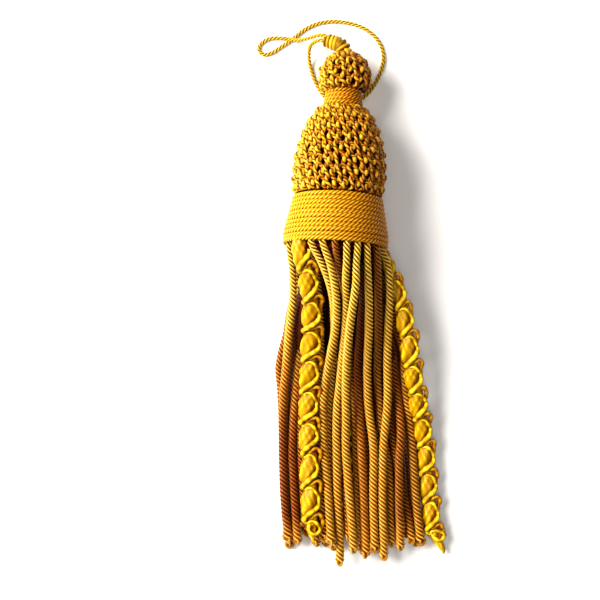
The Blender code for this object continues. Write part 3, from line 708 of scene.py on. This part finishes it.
def strand_line(strand, places, falls, step):
    """A strand's centreline, from where it is sewn under the band to its end."""
    length = strand["length"] * MM
    shown = falls < length - 2 * MM
    across = np.append(places[shown, 0], np.interp(length, falls, places[:, 0]))
    height = np.append(places[shown, 1], np.interp(length, falls, places[:, 1]))
    stops = np.append(falls[shown], length)
    line = np.stack([across, RIM_CENTRE[1] - stops, height], axis=1)
    line[0] = strand["root"]
    ring = min(strand["ring"], SEWN_RING)
    sewn = ring_place(ring, strand["place"], SEWN_UNDER_BAND)
    return smooth_path([sewn, *line], step)


# How much light reaches a strand at the band and further down, at falls in mm, and the strands
# that get more or less of it, between or under others. The very end gets no less than END_LIGHT.
LIGHT_FALLS = (10, 70, 96, 104)
LIT, END_LIGHT = (1.0, 0.80), 0.78
SHADED = {
    "front_3": (0.5, 0.75), "deep_1": (0.08, 0.6), "front_7": (0.52, 0.65), "deep_2": (0.4, 0.5),
    "deep_3": (0.35, 0.5), "edge_right": (0.5, 0.68), "behind_scroll": (1.3, 0.4),
    "edge_left": (1.25, 0.36), "under": (0.5, 0.6), "inner": (0.2, 0.45),
}
# One turn of the twist, how finely a strand is made, how far its yarns' centres lie from its own
# and their half sizes, how much it is pinched at the root, and the loops at its end
STRAND_LAY = 5.9 * MM
STRAND_STEP = {"shown": 0.46 * MM, "hidden": 0.77 * MM}
YARN_AROUND = {"shown": 8, "hidden": 6}
PLY_CENTRE, PLY_HIGH, PLY_WIDE = 0.88 * MM, 0.71 * MM, 0.52 * MM
PINCHED, FULL_AT = 0.76, 32 * MM
LOOP_OPENS, LOOP_PALE = 1.5 * MM, 2.5 * MM
LOOP_BOWS, LOOP_ROWS = (1.25, 0.4), 7
YARNS = len(LOOP_BOWS)
LOOP_RADIUS, YARN_WARMTH = (0.95, 1.6), (-0.05, 0.16)
# How much deeper the painted shade in the grooves is, as a power on the relief
GROOVE_DARK = 2.6


def bullion_cord(line, start, loop, around):
    """Soft yarns twisted hard together, each doubled back at the strand's end.

    A yarn is two helices half a turn apart, down one side and back up the other, joined by half an
    oval for its loop. The yarns lie evenly round the strand, which is thinner near the root. The
    relief rises at the loops, where the twist opens, and paints them paler: a painted highlight.
    """
    ahead, side, above = frames(line, (0, 0, 1))
    reach = reach_of(line)[:, None]
    twist = start - 2 * math.pi * np.cumsum(np.gradient(reach, axis=0), axis=0) / STRAND_LAY
    full = np.interp(reach, (0, FULL_AT), (PINCHED, 1.0))
    opening = np.exp(-((reach[-1] - reach) / LOOP_OPENS) ** 2)
    centre = full * PLY_CENTRE + (loop - PLY_CENTRE) * opening
    bow = np.linspace(0, math.pi, LOOP_ROWS + 2)[1:-1, None]
    yarns = []
    for k, bowed in enumerate(LOOP_BOWS):
        turn = twist + math.pi * k / YARNS
        spoke = np.cos(turn) * side + np.sin(turn) * above
        outward = np.cos(bow) * spoke[-1] + np.sin(bow) * ahead[-1] * bowed
        path = np.concatenate([line + centre * spoke, line[-1] + loop * outward,
                               (line - centre * spoke)[::-1]])
        facing = np.concatenate([spoke, unit(outward), -spoke[::-1]])
        size = np.concatenate([full, np.ones_like(bow), full[::-1]])[:, 0]
        rings, lie, relief = soft_cord(
            path, facing, PLY_HIGH * size, PLY_WIDE * size, around, seed=start + k)
        along = reach_of(path)[:, None]
        # Painted shade and highlight: the grooves are darkened by GROOVE_DARK, and each loop is painted
        # paler over LOOP_PALE
        relief = relief ** GROOVE_DARK
        relief = relief + (1 - relief) * 0.5 * np.exp(-((along - along[-1] / 2) / LOOP_PALE) ** 2)
        yarns.append((rings, lie, relief))
    return yarns


# The strand behind the left scroll lies a little closer to it, in mm at falls in mm
CLOSER = {"falls": (0, 12, 20, 35, 50, 75), "across": (0, 0.3, 0.8, 1.7, 1.1, 0)}


def group_of(name, strand):
    """The strands are kept in three pieces: those on top, those between and those beneath."""
    if strand["pull"] == PULL_UNDER:
        return "under"
    return "front" if name.startswith(("front", "edge", "beside", "behind")) else "deep"


falls, strands = strand_list()
places = settle(falls, strands)
chance = np.random.default_rng(7)
groups = {"front": [], "deep": [], "under": []}
for k, (name, strand) in enumerate(strands.items()):
    start = chance.uniform(0, 2 * math.pi)
    if name.startswith("scroll"):
        continue
    group = group_of(name, strand)
    seen = "hidden" if group == "under" else "shown"
    line = strand_line(strand, places[:, k], falls, STRAND_STEP[seen])
    if name == "behind_scroll":
        line[:, 0] += MM * np.interp(
            (RIM_CENTRE[1] - line[:, 1]) / MM, CLOSER["falls"], CLOSER["across"])
    loop = chance.uniform(*LOOP_RADIUS) * MM
    warmth = chance.uniform(*YARN_WARMTH)
    above, below = SHADED.get(name) or SHADED.get(name.split("_")[0]) or LIT
    for rings, lie, relief in bullion_cord(line, start, loop, YARN_AROUND[seen]):
        rings[..., 2] = np.maximum(rings[..., 2], 0)
        fall = (RIM_CENTRE[1] - rings[..., 1]) / MM
        light = np.interp(fall, LIGHT_FALLS, (above, below, below, max(below, END_LIGHT)))
        groups[group].append((rings, lie, toned(relief, light, warmth)))

# The heart of the fringe: more of the same strands in the middle of the heap, hanging from the
# middle of the backing. Only slivers of them show between the others.
HEART_STRANDS, HEART_RING, HEART_RADIUS = 14, 6.0 * MM, 1.7 * MM
HEART_STEP = 0.45 * MM
SINKS_WITHIN, SPREADS_WITHIN = 30 * MM, 14 * MM
left_edge = places[:, list(strands).index("edge_left"), 0]
right_edge = places[:, list(strands).index("edge_right"), 0]
for turn in np.arange(HEART_STRANDS) * 2 * math.pi / HEART_STRANDS:
    share = 0.5 + 0.47 * math.sin(turn + 0.2 * math.sin(3 * turn))
    across = (1 - share) * left_edge + share * right_edge
    root = RIM_CENTRE + HEART_RING * (math.sin(turn) * ACROSS + math.cos(turn) * UP)
    across = across + (root[0] - across) * np.exp(-(falls / SPREADS_WITHIN) ** 2)
    sunk = HEART_RADIUS + (root[2] - HEART_RADIUS) * np.exp(-(falls / SINKS_WITHIN) ** 2)
    stops = falls < (100 + 3 * math.cos(5 * turn)) * MM
    line = smooth_path(
        np.stack([across, RIM_CENTRE[1] - falls, sunk], axis=1)[stops], HEART_STEP)
    rings, lie, relief = laid_cord(
        line, (0, 0, 1), HEART_RADIUS, STRAND_LAY, plies=2 * YARNS, start=turn, hollow=0.6)
    rings[..., 2] = np.maximum(rings[..., 2], 0)
    # Painted shade: these strands are drawn at about a fifth of the light, more orange and with deeper
    # grooves, so that the gaps between the others show dark
    groups["under"].append((rings, lie, toned(relief ** 2, light=0.22, warmth=0.2)))
bullion_material = yarn_material(
    "bullion_rayon", (0.07, 0.015, 0.0004), (0.40, 0.19, 0.007), (0.70, 0.48, 0.055),
    (0.92, 0.77, 0.28), shine=0.33, gloss=0.5)
for group, tubes in groups.items():
    bullion = add_tubes(f"bullion_{group}", tubes, "bullion_yarn", "skirt")
    bullion.data.materials.append(bullion_material)

# The backing: a round pad of the same yarn under the band, to which the strands are sewn. It
# closes the band from below, and the strands hide most of it.
BACKING_AROUND = 48
turn = np.tile(np.arange(BACKING_AROUND) * 2 * math.pi / BACKING_AROUND, (4, 1))
along = np.array([-BACKING_THICK, -BACKING_THICK, 0, 0])[:, None] - GAP
along = np.broadcast_to(along, turn.shape)
radius = np.array([0.1, 1, 1, 0.1])[:, None] * BACKING_RADIUS
rings, _ = on_axis(along, radius, turn)
lie = np.stack([turn * 10, along / MM, np.zeros(turn.shape)], -1)
# Painted shade: the backing is drawn in the dark lining colour at half the light, as between the
# strands' roots, not in the yarn's gold
tone = toned(0.3, 0.5, np.zeros(turn.shape))
backing = add_tubes("fringe_backing", [(rings, lie, tone)], "bullion_yarn", "skirt")
backing.data.materials.append(lining_material)

# The scroll strands: a core of soft bright floss, with two smooth floss cords led over it in a
# running scroll. One crosses on a slant and hooks back on the left, the other arches over to the
# right. At the end the first goes round into an eye, and the floss comes to a tip.
SCROLLS = {  # repeat and first hook in mm, width of the scroll's figure, of the core, at the root
    "scroll_left": (11.55, 9.9, 0.92, 1.0, 0.9),
    "scroll_right": (10.35, 1.55, 0.82, 0.93, 0.55),
    "scroll_under": (11.0, 6.0, 0.9, 1.0, 0.9),
}
SCROLL_SHIFTS = {  # mm to the right at each of these falls
    "falls": (0, 10, 20, 46, 56, 66, 88, 102, 109),
    "scroll_left": (0.3, 0.6, 0.75, 0.75, 0.75, 0.75, 0.75, 0.75, 1.6),
    "scroll_right": (-0.6, -1.0, -1.3, -1.6, -1.1, -0.2, -0.2, -0.9, 2.4),
    "scroll_under": (0, 0, 0, 0, 0, 0, 0, 0, 0),
}
SCROLL_WAIST, WAIST_ABOVE, SCROLL_LEANS = 0.36, 1.3 * MM, 2.4 * MM
# One repeat of each cord in mm: across from the strand's middle, down from the hook, how high on
# the core, where 1 is on top of it, and the cord's radius
SCROLL_CORD = [
    (3.2, -6.1, 0.72, 0.66), (2.9, -4.9, 0.95, 0.82), (1.9, -3.8, 1.15, 0.98), (0.4, -2.9, 1.30, 1.04),
    (-1.2, -1.9, 1.28, 1.06), (-2.4, -0.8, 1.02, 1.0), (-2.9, 0.2, 0.70, 0.90), (-2.5, 1.0, 0.50, 0.76),
    (-1.6, 1.1, 0.62, 0.64), (-0.6, 0.6, 0.92, 0.60), (0.5, 0.5, 1.12, 0.62), (1.5, 1.1, 1.16, 0.66),
    (2.3, 2.3, 1.06, 0.66), (2.9, 3.7, 0.88, 0.64),
]
SCROLL_ARCH = [
    (-0.6, 0.1, 0.60, 0.64), (0.4, -0.7, 0.84, 0.66), (1.4, -1.4, 1.00, 0.70), (2.5, -1.8, 1.00, 0.74),
    (3.5, -1.5, 0.90, 0.76), (4.1, -0.6, 0.74, 0.78), (4.2, 0.7, 0.56, 0.78), (3.9, 2.0, 0.32, 0.75),
    (3.5, 3.4, 0.10, 0.72), (3.0, 5.0, 0.00, 0.70), (2.4, 6.6, 0.16, 0.70), (1.2, 8.2, 0.36, 0.70),
    (0.0, 9.7, 0.50, 0.70),
]
# After its last hook the first cord goes on round the core into an eye
SCROLL_EYE = [
    (2.3, 4.7, 0.86, 0.72), (1.1, 5.1, 0.90, 0.76), (-0.2, 4.8, 0.94, 0.78), (-1.1, 3.9, 0.94, 0.78),
    (-1.5, 2.8, 0.86, 0.74), (-1.3, 1.7, 0.60, 0.70),
]
EYE_DOWN, PAST_LAST_HOOK, SHORT_OF_END = 2.9 * MM, 5.6 * MM, 5 * MM
SCROLL_DRAWN_AT, SCROLL_FULL_AT = 11.15, 35 * MM
CORE_STEP, CORE_AROUND = 0.3 * MM, 48
TIP_STEPS, TIP_LENGTH = 6, 10 * MM
LED_STEP, LED_SUNK, LED_AROUND = 0.35 * MM, 0.35 * MM, 10
CORE_LEFTWARDS = 0.5 * MM


def floss_core(line, reach, first, pitch, core, narrowed):
    """Rings of the floss core and its relief. The repeats are counted along reach, from first.

    Its size is 1.07 - SCROLL_WAIST * cos(pi * phase) ** 4, least where a cord crosses it, and
    phase counts the repeats along the strand, leaning by SCROLL_LEANS from left to right. Two waves
    of shallow folds are added, and over the last TIP_LENGTH it thins to a tip.
    """
    turn = np.arange(CORE_AROUND) * 2 * math.pi / CORE_AROUND
    phase = (reach[:, None] - first + WAIST_ABOVE + SCROLL_LEANS * np.cos(turn)) / pitch
    swell = 1.07 - SCROLL_WAIST * np.cos(math.pi * phase) ** 4
    fold = (np.cos(7 * turn + 2.6 * np.sin(2 * math.pi * phase + 2 * turn) + 1.7 * phase)
            + np.cos(3 * turn - 14 * phase + 1.5 * np.sin(5 * phase)))
    left = (reach[-1] - reach)[:, None]
    # Painted shade and highlight: the colour follows this relief, darker at the waists where a cord
    # crosses and lighter on the swells and folds; it is also paler towards the tip
    relief = 0.68 + 1.0 * (swell - 1.0) + 0.11 * fold + 0.3 * np.exp(-left / (6 * MM))
    swell = (swell + 0.03 * fold) * np.clip(left / TIP_LENGTH, 0.02, 1) ** 0.65
    swell = swell * np.interp(reach, (0, SCROLL_FULL_AT), (narrowed, 1))[:, None]
    ahead, above, side = frames(line, (0, 0, 1))
    right = side * np.sign(side[:, :1])
    rings = line[:, None] + (
        (np.cos(turn)[:, None] * core * SCROLL_HALF["across"] - CORE_LEFTWARDS) * right[:, None]
        + np.sin(turn)[:, None] * above[:, None] * SCROLL_HALF["up"]) * swell[..., None]
    turned_in = np.dot(np.cross(right[0], above[0]), ahead[0]) < 0
    return (rings[:, ::-1] if turned_in else rings), relief


def led_cord(figure, end, line, first, pitch, count, wide, narrowed):
    """A smooth cord that repeats a drawn figure along a strand, and its radius all along.

    The figure is narrowed at the root and reaches its full width at SCROLL_FULL_AT.
    """
    reach = reach_of(line)
    points = np.concatenate([np.tile(np.array(figure), (count, 1)), np.array(end).reshape(-1, 4)])
    repeat = np.minimum(np.arange(len(points)) // len(figure), count - 1)
    points[:, 0] += 0.22 * np.sin(repeat * 2.3 + points[:, 1])
    down = first + pitch * (points[:, 1] / SCROLL_DRAWN_AT + repeat + 0.02 * np.sin(repeat * 1.7))
    keep = (down > 0) & (down < first + pitch * (count - 1) + PAST_LAST_HOOK)
    down, points = down[keep], points[keep]
    _, above, side = frames(line, (0, 0, 1))
    centre, above, side = (
        np.stack([np.interp(down, reach, v[:, k]) for k in range(3)], axis=1)
        for v in (line, above, side * np.sign(side[:, :1])))
    wide = wide * np.interp(down, (0, SCROLL_FULL_AT), (narrowed, 1))[:, None]
    high = points[:, 2:3] * SCROLL_HALF["up"] - LED_SUNK
    led = centre + side * points[:, :1] * wide * MM + above * high
    corners = reach_of(led)
    led = smooth_path(led, LED_STEP)
    reach = reach_of(led)
    return led, np.interp(reach, corners * reach[-1] / corners[-1], points[:, 3]) * MM


scroll_material = yarn_material(
    "scroll_floss", (0.07, 0.012, 0.0005), (0.36, 0.175, 0.002), (0.62, 0.38, 0.004),
    (0.86, 0.67, 0.03), fibres=2.2, shine=0.42, gloss=0.4, bump=0.8)
for k, (name, strand) in enumerate(strands.items()):
    if not name.startswith("scroll"):
        continue
    line = strand_line(strand, places[:, k], falls, CORE_STEP)
    line = np.concatenate([
        line, line[-1] + np.arange(1, TIP_STEPS + 1)[:, None] * (line[-1] - line[-2])])
    reach = reach_of(line)
    pitch, first, wide, core, narrowed = SCROLLS[name]
    pitch, first = pitch * MM, first * MM + SEWN_UNDER_BAND
    count = int((reach[-1] - first - SHORT_OF_END) // pitch) + 1
    line[:, 0] += MM * np.interp(
        (RIM_CENTRE[1] - line[:, 1]) / MM, SCROLL_SHIFTS["falls"], SCROLL_SHIFTS[name])
    rings, relief = floss_core(line, reach, first, pitch, core, narrowed)
    rings[..., 2] = np.maximum(rings[..., 2], 0)
    turn = np.arange(CORE_AROUND) * 2 * math.pi / CORE_AROUND
    lie = np.stack(np.broadcast_arrays(turn * 3, reach[:, None] / MM, float(k)), -1)
    # Painted shade: the core is darker and more orange on its right side, away from the lamp, and
    # darkened where the eye closes over it; it is a little less orange towards its tip
    from_eye = (reach - first - pitch * (count - 1) - EYE_DOWN)[:, None] / MM
    hollow = np.exp(-from_eye ** 2) * np.clip(np.sin(turn), 0, 1) ** 6
    light = (0.92 - 0.10 * np.cos(turn)) * (1 - 0.8 * hollow)
    left = (reach[-1] - reach)[:, None]
    warmth = 0.14 * np.cos(turn) - 0.06 - 0.10 * np.exp(-left / (5 * MM))
    tubes = [(rings, lie, toned(relief, light, warmth))]
    # Painted shade: the arch is drawn with less light and more orange than the first cord
    for figure, end, light, warmth in (
            (SCROLL_CORD, SCROLL_EYE, 0.95, -0.05), (SCROLL_ARCH, [], 0.78, 0.15)):
        led, radius = led_cord(figure, end, line, first, pitch, count, wide, narrowed)
        along = reach_of(led) / MM
        radius = radius * (1 + 0.16 * np.sin(along * 2.3) * np.sin(along * 0.37))
        rings, lie, relief = soft_cord(led, (0, 0, 1), radius, radius, LED_AROUND)
        rings[..., 2] = np.maximum(rings[..., 2], 0)
        # The cords' sides get deeper painted shade, and their colour waves a little along them
        relief = relief ** 1.6 + 0.16 * np.sin(along * 1.9 + 1.3 * np.sin(along * 0.7))[:, None]
        tubes.append((rings, lie, toned(relief, light, warmth)))
    scroll = add_tubes(f"{name}_floss", tubes, "scroll_yarn", name)
    scroll.data.materials.append(scroll_material)

# The table: a plain pale sheet under the tassel, lit softly from the left as in a studio. A
# second, weaker light from above opens the shadows.
TABLE_HALF = 2.0
table = bpy.data.meshes.new("table")
corners = [(x * TABLE_HALF, y * TABLE_HALF, 0) for x, y in ((-1, -1), (1, -1), (1, 1), (-1, 1))]
table.from_pydata(corners, [], [(0, 1, 2, 3)])
table_top = bpy.data.objects.new("table", table)
bpy.context.scene.collection.objects.link(table_top)
paper = bpy.data.materials.new("paper")
paper.use_nodes = True
paper_shader = paper.node_tree.nodes["Principled BSDF"]
paper_shader.inputs["Base Color"].default_value = (0.92, 0.91, 0.90, 1)
paper_shader.inputs["Roughness"].default_value = 0.7
table.materials.append(paper)
LIGHTS = {  # place, size in metres, watts, colour
    "key": ((-0.48, 0.16, 0.50), 0.42, 8.0, (1.0, 0.98, 0.93)),
    "top": ((0.10, -0.10, 0.90), 0.50, 2.4, (1.0, 0.99, 0.97)),
}
LIT_POINT = (0.0, -0.02, 0.015)
for name, (place, size, power, colour) in LIGHTS.items():
    lamp = bpy.data.lights.new(name, "AREA")
    lamp.size, lamp.energy, lamp.color = size, power, colour
    lamp_object = bpy.data.objects.new(name, lamp)
    lamp_object.location = place
    aim = Vector(LIT_POINT) - Vector(place)
    lamp_object.rotation_euler = aim.to_track_quat("-Z", "Y").to_euler()
    bpy.context.scene.collection.objects.link(lamp_object)
world = bpy.data.worlds.new("studio")
world.use_nodes = True
world.node_tree.nodes["Background"].inputs["Color"].default_value = (0.95, 0.97, 1.0, 1)
world.node_tree.nodes["Background"].inputs["Strength"].default_value = 0.10
bpy.context.scene.world = world
bpy.context.scene.view_settings.view_transform = "Standard"
bpy.context.scene.view_settings.look = "High Contrast"
